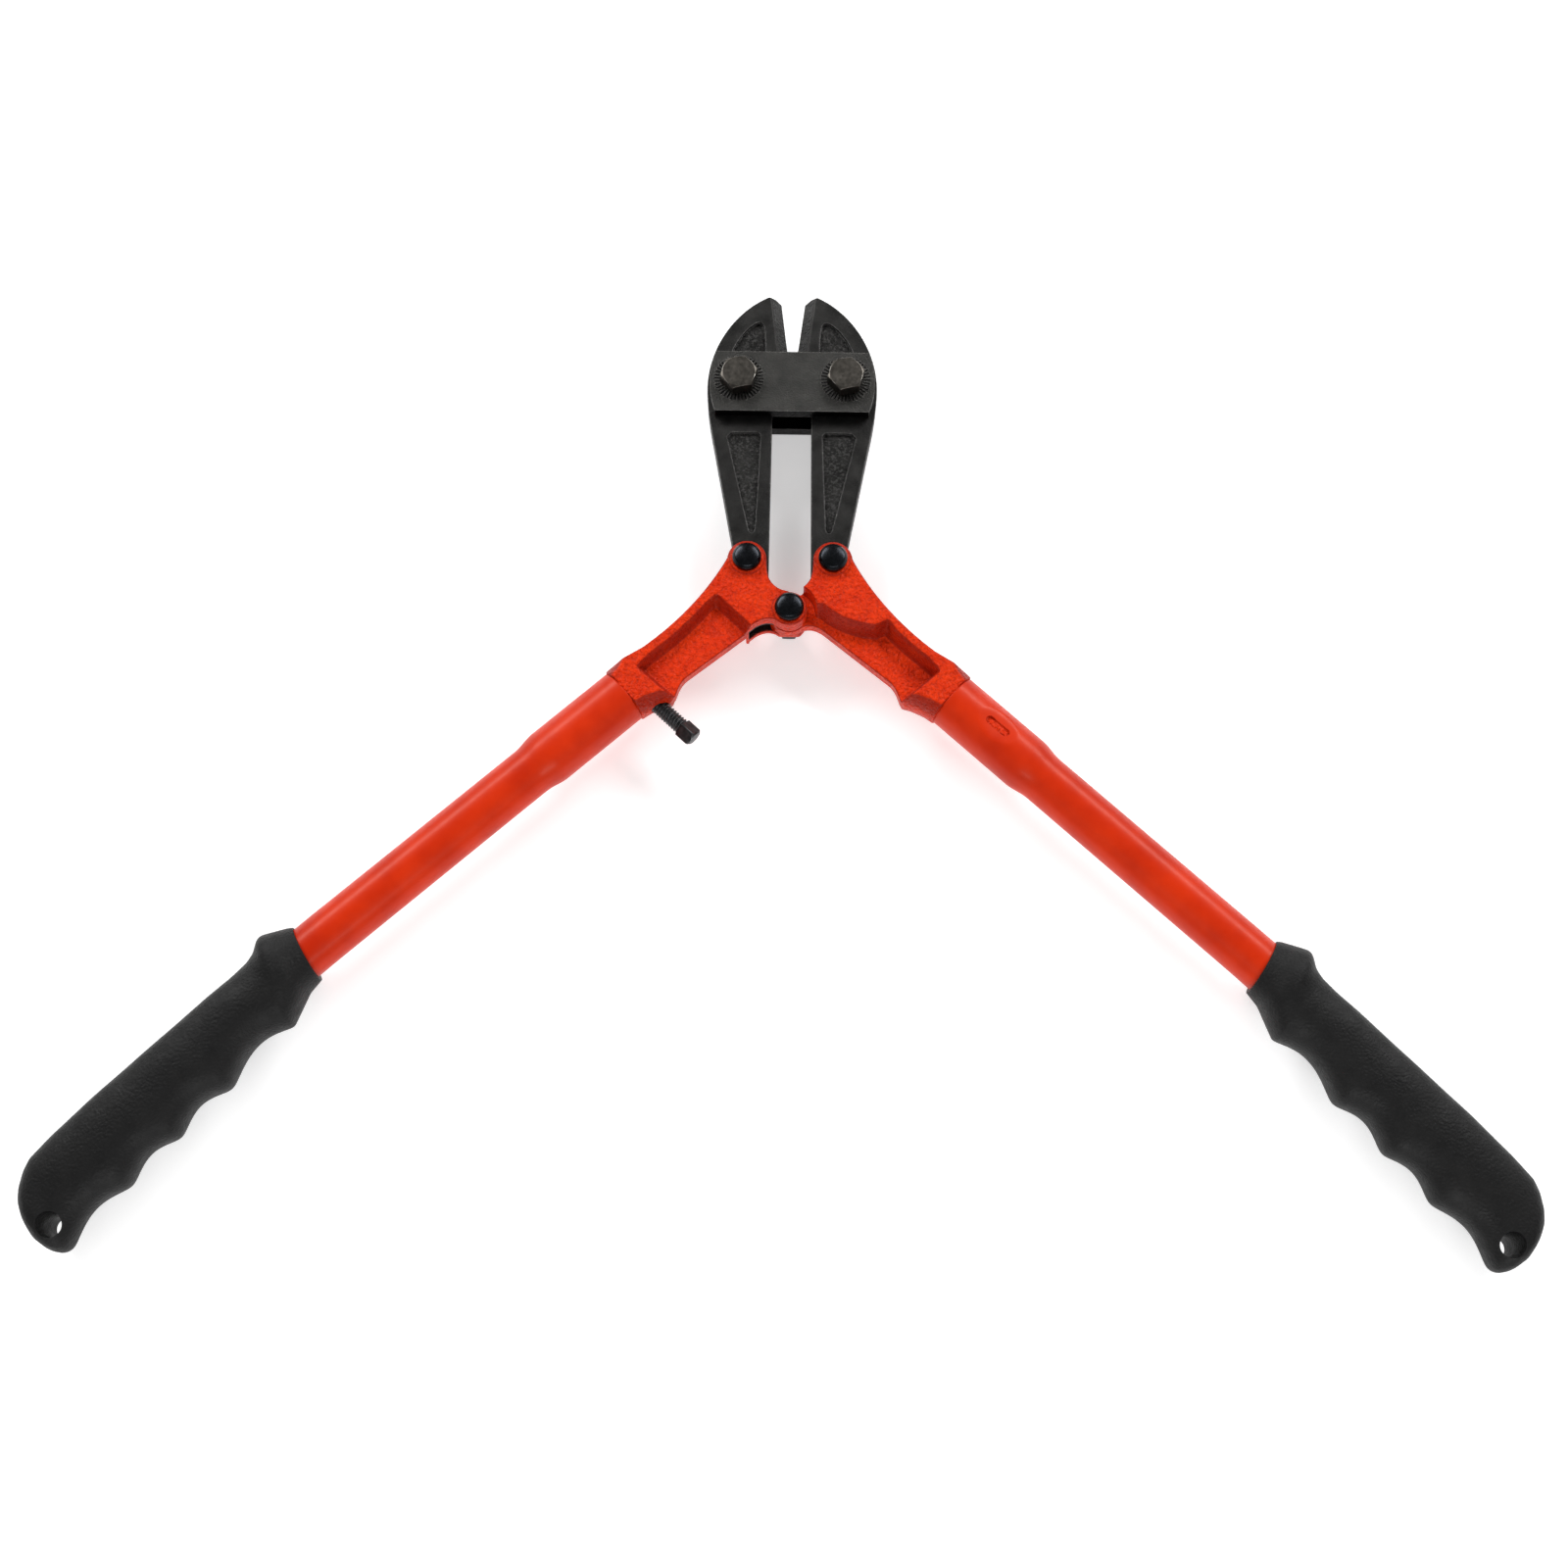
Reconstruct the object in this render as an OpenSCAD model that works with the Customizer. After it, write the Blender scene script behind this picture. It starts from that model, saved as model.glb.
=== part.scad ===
// Bolt cutter of the 450 mm (18 inch) size: two forged jaws between two link plates, worked by
// two tube handles through cast yokes. It lies flat, jaws towards +Y, front side up, and is
// drawn with its jaws open.

/* [Linkage] */
// Half the distance between the two fulcrum bolts
fulcrum_x = 19.8; // [19.4:0.1:20.2]
// Distance from the centre pivot to the line through the fulcrum bolts
fulcrum_rise = 91.3; // [90.8:0.1:91.8]
// Half the distance between the two toggle pins, jaws open
toggle_x = 15.5; // [15.2:0.1:15.8]
// Distance from the centre pivot to the line through the toggle pins, jaws open
toggle_rise = 19.1; // [18.8:0.1:19.4]
// Angle that each jaw turns from open to shut
jaw_swing = 7; // [6.5:0.5:7.5]
// Angle that each handle turns from open to shut
handle_swing = 42.6; // [42:0.1:43]
// Slope of the handle tubes below the line through the fulcrum bolts
handle_drop = 42; // [41:0.5:43]

/* [Jaws and link plates] */
// Thickness of a jaw
jaw_t = 9.6; // [9:0.1:9.8]
// Thickness of a link plate
plate_t = 4.4; // [4:0.1:5]
// Height of a link plate, from its lower edge to its upper edge
plate_h = 24.5; // [24:0.5:25]
// Width of the ground bevel beside a cutting edge
bevel_w = 4.2; // [3:0.1:5]
// Flat left along a cutting edge between its two bevels
edge_flat = 0.6; // [0.2:0.1:1]
// Depth of the forged pockets in the faces of a jaw
pocket_depth = 1.3; // [0.5:0.1:2]
// Number of locking grooves in a link plate round each fulcrum bolt
groove_count = 40; // [24:2:48]

/* [Fasteners] */
// Radius of a fulcrum bolt's shank
fulcrum_r = 4; // [3.5:0.1:4.2]
// Width across the flats of the fulcrum bolt heads and nuts
fulcrum_af = 12.4; // [11:0.1:13]
// Radius of the three linkage pins
pin_r = 3.5; // [3:0.1:3.6]
// Radius of the round heads of the linkage pins
pin_head_r = 5.2; // [4.8:0.1:5.3]
// Radius of the threaded end of a toggle pin
pin_thread_r = 3; // [2.6:0.1:3]
// Width across the flats of the nuts on the toggle pins
pin_nut_af = 10; // [9:0.1:10]
// Radius of the stop screw's thread
stop_r = 3; // [2.5:0.1:3]
// Width across the flats of the stop screw's square head
stop_head_w = 5.3; // [5:0.1:6]
// Pitch of the stop screw's thread
stop_pitch = 1.2; // [0.8:0.1:1.5]

/* [Yokes] */
// Thickness of a yoke at its pads and at its tube end
pad_t = 17.4; // [17:0.1:18]
// Thickness of a yoke's recessed web, which is also the tongue at the centre pivot
web_t = 5.4; // [5:0.1:5.6]
// Radius of a yoke's ears round the toggle pins
toggle_ear_r = 7.1; // [7:0.1:7.4]
// Radius of a yoke's ears and tongue round the centre pivot
pivot_ear_r = 6.4; // [6.3:0.1:6.6]
// Width of the rim along a yoke's outer edge, where it stands on the web
rim_w = 6.2; // [5.8:0.1:6.4]
// Height of the round bosses under the pin heads and washers
boss_h = 0.6; // [0.3:0.1:1]

/* [Handles] */
// Outer radius of a handle tube
tube_r = 8.9; // [8.8:0.1:9]
// Outer radius of the widened tube end over the yoke's tang
swage_r = 10.05; // [10:0.05:10.2]
// Wall thickness of a handle tube
tube_wall = 1.6; // [1.2:0.1:2]
// Length of the widened tube end
swage_length = 34; // [30:1:36]
// Radius of the hang hole through each grip
hang_hole_r = 4.1; // [3.5:0.1:4.5]

/* [Hidden] */
$fn = 96;

// Running and assembly clearances
pin_gap = 0.05;
thread_gap = 0.02;
plate_gap = 0.15;
fork_gap = 0.3;

// Heights above and below the plane midway through the tool
plate_in = jaw_t / 2 + plate_gap;
plate_out = plate_in + plate_t;
boss_out = pad_t / 2 + boss_h;
boss_r = pin_head_r + 0.9;
toggle_fork_z = [-jaw_t / 2 - fork_gap, jaw_t / 2 + fork_gap];
left_web_top = 4.2;
right_web_top = 2;
pivot_fork_z = [right_web_top - web_t - fork_gap, right_web_top + fork_gap];
rear_ear_z = pivot_fork_z[0] - 2.9;
toggle_slot_r = 9.8;
pivot_slot_r = pivot_ear_r + 3.4;
fulcrum_nut_h = 6.3;
fulcrum_end = plate_out + fulcrum_nut_h + 1.2;
washer_t = 1.6;

// Rear end of a pin: the radius of its thread, and the width and height of its nut. The centre
// pin's are smaller, because its rear ear is.
toggle_end = [pin_thread_r, pin_nut_af, 4.4];
centre_end = [pin_thread_r - 0.5, pin_nut_af - 2, 3.2];
function pin_stack(end) = washer_t + end[2] + 0.8;

// The tool lies on the lowest of its bolt ends, and the middle of its outline is at X = Y = 0
mid_z = max(fulcrum_end, boss_out + pin_stack(toggle_end));
pivot_y = 49;

// Joints of the left half, measured from the centre pivot
left_fulcrum = [-fulcrum_x, fulcrum_rise];
left_toggle = [-toggle_x, toggle_rise];
tube_joint = [-58.5, -31.1];

// Handle: the tube is straight, then turns a little inward inside the grip
bend_u = 141.5;
bend_angle = 2.5;
tube_end_u = 92;
tang_length = 28;
tang_root = 4;
swage_cone = 9;
hang_hole_at = [117.5, 14.4];

// Stop screw: it leaves a flat face on the left yoke and meets the same face on the right yoke
stop_angle = -handle_swing;
stop_face_x = 7.5;
stop_axis_drop = 56.6;
stop_face_at = -stop_face_x * [cos(stop_angle), sin(stop_angle)]
    + stop_axis_drop * [sin(stop_angle), -cos(stop_angle)];
stop_touch_gap = 0.2;
stop_out = 2 * stop_face_x - stop_touch_gap;
stop_head_l = 6.4;
stop_thread_in = 11;
stop_hole_depth = 15.5;

function bezier(a, b, c, d, steps = 12) = [
    for (i = [0 : steps])
        let (t = i / steps, s = 1 - t)
            s * s * s * a + 3 * s * s * t * b + 3 * s * t * t * c + t * t * t * d
];

// The path moved sideways by a distance, to its left as it runs
function beside(path, distance) = [
    for (i = [0 : len(path) - 1])
        let (
            before = path[max(i - 1, 0)],
            after = path[min(i + 1, len(path) - 1)],
            run = after - before
        )
            path[i] + distance * [-run[1], run[0]] / norm(run)
];

// Outline of a slot with round ends, centred on a and b
function slot_outline(a, b, r) =
    let (turn = atan2(b[1] - a[1], b[0] - a[0]) - 90)
    [
        for (centre = [b, a], i = [0 : 24])
            let (angle = turn + i * 7.5 + (centre == a ? 180 : 0))
                centre + r * [cos(angle), sin(angle)]
    ];

function reversed(path) = [for (i = [len(path) - 1 : -1 : 0]) path[i]];

module in_place() {
    translate([0, pivot_y, mid_z]) children();
}

// Children are drawn for the left half; this draws them in the right half
module right_half() {
    mirror([1, 0, 0]) children();
}

// Moves children to the left handle: X runs out along the tube, Y points to its finger side
module on_handle() {
    translate(tube_joint) rotate([0, 0, 180 + handle_drop]) children();
}

module on_grip() {
    on_handle() translate([bend_u, 0, 0]) rotate([0, 0, bend_angle]) children();
}

module rod(r, from_x, to_x) {
    translate([from_x, 0, 0]) rotate([0, 90, 0]) cylinder(r = r, h = to_x - from_x);
}

// ---- jaws ----

jaw_eye_r = 7;

function edge_x(y) = -(y - fulcrum_rise) * tan(jaw_swing);

jaw_crown = bezier([-9.4, 128.2], [-22, 122], [-32.3, 106], [-31.6, 88], 24);
jaw_shoulder = bezier([-31.6, 88], [-31.5, 82], [-30.3, 75.5], [-28.9, 68.4], 8);
jaw_throat = bezier([-7.3, 80], [-6.8, 90], [-3, 93], [edge_x(98), 98], 8);

module jaw_outline() {
    polygon(concat(
        [[edge_x(127.6), 127.6], [-6.8, 128.5]],
        jaw_crown,
        jaw_shoulder,
        [[-20.2, 22.3], [-18, 14], [-9.6, 12.8], [-7.7, 15.5]],
        jaw_throat
    ));
    translate(left_toggle) circle(r = jaw_eye_r);
}

module upper_pocket_outline() {
    polygon(concat(
        bezier([-10, 98.5], [-10.3, 112], [-9.8, 118.6], [-13.4, 117.4], 10),
        bezier([-13.4, 117.4], [-17.3, 115.6], [-22.5, 108.5], [-24.6, 98.5], 10)
    ));
}

module lower_pocket_outline() {
    polygon(concat(
        [[-22.3, 71.4], [-12.6, 71.6]],
        bezier([-11.4, 70.4], [-11.8, 58], [-12.3, 44], [-12.9, 32.4], 6),
        bezier([-12.9, 32.4], [-13.2, 30.6], [-14.9, 30.6], [-15.3, 32.4], 6),
        [[-23.9, 69.6]]
    ));
}

// Grinds away both faces beside the cutting edge
module edge_bevels() {
    bevel_start = 5;
    bevel_reach = 46;
    over = 2;
    for (face = [-1, 1])
        translate([-sin(jaw_swing) * bevel_reach, fulcrum_rise + bevel_reach, 0])
            rotate([0, 0, jaw_swing])
                rotate([90, 0, 0])
                    linear_extrude(bevel_reach - bevel_start)
                        polygon([
                            [-bevel_w, face * jaw_t / 2],
                            [-bevel_w, face * (jaw_t / 2 + over)],
                            [over, face * (jaw_t / 2 + over)],
                            [over, face * edge_flat / 2],
                            [0, face * edge_flat / 2]
                        ]);
}

module jaw() {
    difference() {
        translate([0, 0, -jaw_t / 2]) linear_extrude(jaw_t) jaw_outline();
        edge_bevels();
        for (z = [-jaw_t / 2 - 1, jaw_t / 2 - pocket_depth])
            translate([0, 0, z])
                linear_extrude(pocket_depth + 1) {
                    upper_pocket_outline();
                    lower_pocket_outline();
                }
        translate(left_fulcrum)
            cylinder(r = fulcrum_r + pin_gap, h = 2 * jaw_t, center = true);
        translate(left_toggle)
            cylinder(r = pin_r + pin_gap, h = 2 * jaw_t, center = true);
    }
}

module left_jaw() {
    color("#3b3a38") in_place() jaw();
}

module right_jaw() {
    color("#3b3a38") in_place() right_half() jaw();
}

// ---- link plates ----

module plate_outline() {
    top_y = fulcrum_rise + 11.2;
    low_y = top_y - plate_h;
    side = bezier([28.6, top_y], [31, top_y - 8], [31.6, low_y + 9], [28.5, low_y], 12);
    polygon(concat(side, [for (p = reversed(side)) [-p[0], p[1]]]));
}

// V-shaped radial grooves in the outer face, which lock the bolt heads and nuts
module lock_grooves() {
    groove_side = 0.55;
    for (x = [-fulcrum_x, fulcrum_x], i = [0 : groove_count - 1])
        translate([x, fulcrum_rise, plate_out])
            rotate([0, 0, i * 360 / groove_count])
                translate([fulcrum_r + 1.6, 0, 0])
                    rotate([45, 0, 0])
                        translate([0, -groove_side / 2, -groove_side / 2])
                            cube([3.7, groove_side, groove_side]);
}

module link_plate() {
    difference() {
        translate([0, 0, plate_in]) linear_extrude(plate_t) plate_outline();
        lock_grooves();
        for (x = [-fulcrum_x, fulcrum_x])
            translate([x, fulcrum_rise, 0])
                cylinder(r = fulcrum_r + pin_gap, h = 2 * plate_out);
    }
}

module front_link_plate() {
    color("#3f3e3c") in_place() link_plate();
}

module rear_link_plate() {
    color("#3f3e3c") in_place() mirror([0, 0, 1]) link_plate();
}

// ---- fulcrum bolts and nuts ----

// Hexagonal block with its top corners turned off at a slope; optionally the lower ones too
module hex_block(af, h, both_ends = false) {
    corner_r = af / sqrt(3);
    round_r = corner_r + 0.1;
    turned_r = af / 2 * 0.97;
    slope_h = (round_r - turned_r) * 0.5;
    intersection() {
        cylinder(r = corner_r, h = h, $fn = 6);
        union() {
            translate([0, 0, h - slope_h]) cylinder(r1 = round_r, r2 = turned_r, h = slope_h);
            translate([0, 0, both_ends ? slope_h : 0])
                cylinder(r = round_r, h = both_ends ? h - 2 * slope_h : h - slope_h);
            if (both_ends) cylinder(r1 = turned_r, r2 = round_r, h = slope_h);
        }
    }
}

module fulcrum_bolt() {
    head_h = 5.3;
    head_turn = 13;
    translate([-fulcrum_x, fulcrum_rise, 0]) {
        translate([0, 0, plate_out]) rotate([0, 0, head_turn]) hex_block(fulcrum_af, head_h);
        translate([0, 0, 0.8 - fulcrum_end])
            cylinder(r = fulcrum_r, h = plate_out + fulcrum_end - 0.8);
        translate([0, 0, -fulcrum_end]) cylinder(r1 = fulcrum_r - 0.8, r2 = fulcrum_r, h = 0.8);
    }
}

module fulcrum_nut() {
    translate([-fulcrum_x, fulcrum_rise, -plate_out - fulcrum_nut_h])
        difference() {
            rotate([0, 0, 21]) hex_block(fulcrum_af, fulcrum_nut_h, both_ends = true);
            cylinder(r = fulcrum_r + thread_gap, h = 3 * fulcrum_nut_h, center = true);
        }
}

module left_fulcrum_bolt() {
    color("#4a4540") in_place() fulcrum_bolt();
}

module right_fulcrum_bolt() {
    color("#4a4540") in_place() translate([2 * fulcrum_x, 0, 0]) fulcrum_bolt();
}

module left_fulcrum_nut() {
    color("#4a4540") in_place() fulcrum_nut();
}

module right_fulcrum_nut() {
    color("#4a4540") in_place() translate([2 * fulcrum_x, 0, 0]) fulcrum_nut();
}

// ---- yokes ----

yoke_back = bezier([-21.9, 20.9], [-28.2, 8.2], [-38.2, -4.6], [-52, -15.4], 20);
yoke_belly = concat(
    bezier([-3.9, -4.9], [-6.4, -3.3], [-9.8, -3.4], [-13.4, -6.6], 10),
    bezier([-36, -24.9], [-37.8, -26.4], [-38.9, -28.6], [-39.8, -31.9], 8)
);
stop_boss = [[-49.6, -38.9], [-46.8, -39.8], [-40.2, -32.6]];

// Rounded opening between the toggle ears of the two yokes
module ear_gap_outline() {
    translate([0, 15]) circle(r = 8.05);
    translate([-8.05, 15]) square([16.1, 20]);
}

module yoke_outline() {
    difference() {
        union() {
            polygon(concat(
                yoke_back,
                [[-65.2, -23.6], [-51.8, -38.6]],
                stop_boss,
                reversed(yoke_belly),
                [[0, 0], [0, pivot_ear_r], [-8.2, 15], [-8.6, 21]]
            ));
            circle(r = pivot_ear_r);
            translate(left_toggle) circle(r = toggle_ear_r);
        }
        ear_gap_outline();
    }
}

// Inner edge of the rim, the cut across to the tube end, and beyond the belly
function web_window(pad_edge) = concat(
    pad_edge,
    [for (p = beside(yoke_back, rim_w)) if (p[0] < pad_edge[len(pad_edge) - 1][0] - 0.6) p],
    [[-51.5, -22.9], [-40.1, -32.9], [-34, -38.3], [-8, -14]]
);

module left_web_window_outline() {
    polygon(web_window([[-15, -9.3], [-26.2, 1.4]]));
}

module left_rear_window_outline() {
    polygon(web_window([[-15.5, -9.9], [-15.5, -5.6], [-25, 2.6]]));
}

module right_web_window_outline() {
    polygon(web_window(concat(
        [[0, -14], [0, -4], [-9.9, -1]],
        bezier([-11, -1], [-17, -6.5], [-25, -8.6], [-31.5, -8.9], 8),
        [[-34.6, -7.4]]
    )));
    circle(r = pivot_slot_r);
}

// The first child is the outline of the recess in the front face, the second in the rear face
module yoke_common(web_top, boss_centres) {
    web_low = web_top - web_t;
    translate([0, 0, web_low]) linear_extrude(web_t) yoke_outline();
    translate([0, 0, web_top])
        linear_extrude(pad_t / 2 - web_top)
            difference() {
                yoke_outline();
                children(0);
            }
    translate([0, 0, -pad_t / 2])
        linear_extrude(pad_t / 2 + web_low)
            difference() {
                yoke_outline();
                children(1);
            }
    for (p = boss_centres)
        translate(p) cylinder(r = boss_r, h = 2 * boss_out, center = true);
    on_handle() rod(swage_r - tube_wall - pin_gap, -tang_root, tang_length);
}

module round_slot(centre, r, z) {
    translate([centre[0], centre[1], z[0]]) cylinder(r = r, h = z[1] - z[0]);
}

module pin_bore(centre) {
    translate(centre) cylinder(r = pin_r + thread_gap, h = 3 * pad_t, center = true);
}

// Space round the left yoke's ears between two heights, open along the belly well past the
// right yoke's tongue
module pivot_fork(z) {
    past = [-5, -4];
    translate([0, 0, z[0]])
        linear_extrude(z[1] - z[0])
            polygon(slot_outline([0, 0], past, pivot_slot_r));
}

// The rear ear at the centre pivot is cut off straight below its pin
module rear_ear_flat() {
    flat_y = -5.2;
    translate([-7, flat_y - 5, -pad_t]) cube([14, 5, pad_t + pivot_fork_z[0]]);
}

module left_yoke() {
    color("#d8361f") in_place()
        difference() {
            yoke_common(left_web_top, [left_toggle, [0, 0]]) {
                left_web_window_outline();
                left_rear_window_outline();
            }
            round_slot(left_toggle, toggle_slot_r, toggle_fork_z);
            pivot_fork(pivot_fork_z);
            pivot_fork([-2 * boss_out, rear_ear_z]);
            rear_ear_flat();
            pin_bore(left_toggle);
            pin_bore([0, 0]);
            translate(stop_face_at)
                rotate([0, 0, stop_angle])
                    rod(stop_r + pin_gap, -stop_hole_depth, 6);
        }
}

// The loop of five links is a rigid tree here, so the tongue's hole is a short slot: with the
// jaws half shut it lets the centre pin stand off by the linkage's small departure from
// constant ratios. Its two ends are where the pin lies with the jaws open and half shut.
module pivot_slot() {
    stray = [-2.75, 1.05];
    translate([0, 0, -pad_t / 2])
        linear_extrude(pad_t)
            polygon(slot_outline([0, 0], stray, pin_r + 0.45));
}

module right_yoke() {
    color("#d8361f") in_place() right_half()
        difference() {
            yoke_common(right_web_top, [left_toggle]) {
                right_web_window_outline();
                right_web_window_outline();
            }
            round_slot(left_toggle, toggle_slot_r, toggle_fork_z);
            pin_bore(left_toggle);
            pivot_slot();
        }
}

// ---- linkage pins, washers and nuts ----

// A pin's washer and nut sit on its yoke's rear ear, at the height rear_z
module linkage_pin(rear_z, end) {
    head_h = 3.7;
    thread_r = end[0];
    end_z = rear_z - pin_stack(end);
    translate([0, 0, boss_out])
        rotate_extrude()
            polygon(concat(
                [[0, -1], [pin_r, -1], [pin_r, 0], [pin_head_r, 0], [pin_head_r, 1.7]],
                bezier([pin_head_r - 0.9, 2.9], [pin_head_r - 2, 3.4], [1.5, head_h], [0, head_h], 8)
            ));
    translate([0, 0, rear_z]) cylinder(r = pin_r, h = boss_out - rear_z);
    translate([0, 0, end_z + 0.6]) cylinder(r = thread_r, h = rear_z - end_z);
    translate([0, 0, end_z]) cylinder(r1 = thread_r - 0.6, r2 = thread_r, h = 0.6);
}

module spring_washer(rear_z, end) {
    split_w = 0.7;
    translate([0, 0, rear_z - washer_t])
        difference() {
            cylinder(r = end[1] / 2, h = washer_t);
            cylinder(r = end[0] + thread_gap, h = 3 * washer_t, center = true);
            rotate([0, 0, -50]) translate([0, -split_w / 2, -1]) cube([8, split_w, washer_t + 2]);
        }
}

module pin_nut(rear_z, end) {
    translate([0, 0, rear_z - washer_t - end[2]])
        difference() {
            hex_block(end[1], end[2], both_ends = true);
            cylinder(r = end[0] + thread_gap, h = 3 * end[2], center = true);
        }
}

module at_left_toggle() {
    in_place() translate(left_toggle) children();
}

module at_right_toggle() {
    in_place() right_half() translate(left_toggle) children();
}

module left_toggle_pin() {
    color("#22262b") at_left_toggle() linkage_pin(-boss_out, toggle_end);
}

module right_toggle_pin() {
    color("#22262b") at_right_toggle() linkage_pin(-boss_out, toggle_end);
}

module centre_pivot_pin() {
    color("#22262b") in_place() linkage_pin(rear_ear_z, centre_end);
}

module left_toggle_washer() {
    color("#5a5a5c") at_left_toggle() spring_washer(-boss_out, toggle_end);
}

module right_toggle_washer() {
    color("#5a5a5c") at_right_toggle() spring_washer(-boss_out, toggle_end);
}

module centre_pivot_washer() {
    color("#5a5a5c") in_place() spring_washer(rear_ear_z, centre_end);
}

module left_toggle_nut() {
    color("#22262b") at_left_toggle() pin_nut(-boss_out, toggle_end);
}

module right_toggle_nut() {
    color("#22262b") at_right_toggle() pin_nut(-boss_out, toggle_end);
}

module centre_pivot_nut() {
    color("#22262b") in_place() pin_nut(rear_ear_z, centre_end);
}

// ---- stop screw ----

module stop_screw() {
    ridge_h = 0.35;
    thread_l = stop_out - stop_head_l;
    ridges = floor(thread_l / stop_pitch);
    thread_profile = concat(
        [[0, -stop_thread_in], [stop_r - 0.8, -stop_thread_in], [stop_r, 0.8 - stop_thread_in], [stop_r, 0]],
        [
            for (i = [0 : ridges - 1], step = [0, 1])
                [step == 0 ? stop_r - ridge_h : stop_r, (i + (step + 1) / 2) * stop_pitch]
        ],
        [[stop_r - ridge_h, thread_l], [0, thread_l]]
    );
    color("#26262a") in_place()
        translate(stop_face_at)
            rotate([0, 0, stop_angle])
                rotate([0, 90, 0]) {
                    rotate_extrude() polygon(thread_profile);
                    translate([0, 0, thread_l])
                        intersection() {
                            rotate([0, 0, 45])
                                translate([-stop_head_w / 2, -stop_head_w / 2, 0])
                                    cube([stop_head_w, stop_head_w, stop_head_l]);
                            union() {
                                cylinder(r = stop_head_w, h = stop_head_l - 1);
                                translate([0, 0, stop_head_l - 1])
                                    cylinder(r1 = stop_head_w * 0.72, r2 = stop_head_w / 2, h = 1);
                            }
                        }
                }
}

// ---- handle tubes ----

// Solid round the tube's course, for the outside and for the bore. Past the bend it is a hair
// thinner, so that it leaves the first part through that part's flat end.
module tube_body(r, wide_r, start, end) {
    bend_overrun = 0.5;
    bend_step = 0.05;
    rod(wide_r, start, swage_length);
    translate([swage_length, 0, 0])
        rotate([0, 90, 0])
            cylinder(r1 = wide_r, r2 = r, h = swage_cone);
    rod(r, swage_length + swage_cone, bend_u + bend_overrun);
    translate([bend_u, 0, 0]) rotate([0, 0, bend_angle]) rod(r - bend_step, 0, end);
}

// A punched slot in a dished dent, which locks the tube on the yoke's tang
module crimp() {
    crimp_at = [19.5, -1, 0];
    dish_r = 15;
    dish_depth = 1.1;
    slot_half = 3.5;
    slot_r = 1.5;
    translate(crimp_at) {
        translate([0, 0, swage_r + dish_r - dish_depth]) sphere(r = dish_r);
        linear_extrude(2 * swage_r)
            polygon(slot_outline([-slot_half, 0], [slot_half, 0], slot_r));
    }
}

module handle_tube() {
    on_handle()
        difference() {
            tube_body(tube_r, swage_r, 0, tube_end_u);
            tube_body(tube_r - tube_wall, swage_r - tube_wall, -1, tube_end_u + 1);
            crimp();
        }
}

module left_tube() {
    color("#dd3a20") in_place() mirror([0, 0, 1]) handle_tube();
}

module right_tube() {
    color("#dd3a20") in_place() right_half() handle_tube();
}

// ---- grips ----

// Distance along the grip, then how far the back, and the half thickness, lie from the tube axis
grip_back = [
    [0, 9.3], [4, 10.6], [8, 13.7], [11, 14.5], [13, 13.4], [15, 11.6], [18, 10.7], [24, 10.4],
    [57, 10.5], [82, 10.5], [100, 9.9], [110, 9], [114, 7.2], [118, 4.2], [121, 0.9],
    [123.2, -4], [124.4, -10]
];
grip_half = [
    [0, 9.9], [4, 11], [9, 12.6], [12, 12.8], [16, 11.6], [22, 11], [90, 10.8], [105, 10],
    [112, 9.5], [119, 9.4], [122, 8.4], [123.6, 6.6], [124.4, 4.4]
];
grip_end_front = [[119, 23.4], [121.5, 22.4], [123.4, 19.6], [124.4, 15]];

// Tops of the ridges between the fingers, and the depth of the hollow after each
finger_tops = [[17.5, 16.4], [48, 18.4], [70.4, 19.4], [92, 20.6], [119, 23.4]];
finger_depths = [4.5, 3.6, 3.4, 3.8];

function finger_side(u, i = 0) =
    u < finger_tops[0][0] ? lookup(u, [[0, 10.4], [6, 11.2], [finger_tops[0][0], finger_tops[0][1]]]) :
    u >= 119 ? lookup(u, grip_end_front) :
    u > finger_tops[i + 1][0] ? finger_side(u, i + 1) :
    let (s = (u - finger_tops[i][0]) / (finger_tops[i + 1][0] - finger_tops[i][0]))
        finger_tops[i][1] * (1 - s) + finger_tops[i + 1][1] * s
            - finger_depths[i] * pow(sin(180 * s), 1.25);

grip_stations = concat(
    [0, 2.5, 5, 7.5, 10, 12, 14, 16],
    [for (i = [0 : 35]) 18 + i * 2.75],
    [116.5, 118.5, 120.5, 122, 123.2, 124, 124.4]
);
grip_sides = 28;
mouth_slant = 14;
grip_mouth_u = 3;

function signed_power(value, power) = sign(value) * pow(abs(value), power);

function grip_ring(u) =
    let (
        back = lookup(u, grip_back),
        front = finger_side(u),
        centre = (front - back) / 2,
        half_w = (front + back) / 2,
        half_t = lookup(u, grip_half),
        squareness = u < 30 ? 0.9 : 0.8,
        slant = tan(mouth_slant) * max(0, 1 - u / 30)
    )
    [
        for (k = [0 : grip_sides - 1])
            let (
                a = 360 * k / grip_sides,
                y = centre + half_w * signed_power(cos(a), squareness)
            )
                [u + slant * y, y, half_t * signed_power(sin(a), squareness)]
    ];

module grip_skin() {
    rings = [for (u = grip_stations) grip_ring(u)];
    last = len(rings) - 1;
    polyhedron(
        points = [for (ring = rings, p = ring) p],
        faces = concat(
            [[for (k = [0 : grip_sides - 1]) k]],
            [
                for (i = [0 : last - 1], k = [0 : grip_sides - 1], half = [0, 1])
                    let (
                        a = i * grip_sides + k,
                        b = i * grip_sides + (k + 1) % grip_sides
                    )
                        half == 0 ? [a, a + grip_sides, b] : [b, a + grip_sides, b + grip_sides]
            ],
            [[for (k = [grip_sides - 1 : -1 : 0]) last * grip_sides + k]]
        )
    );
}

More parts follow.
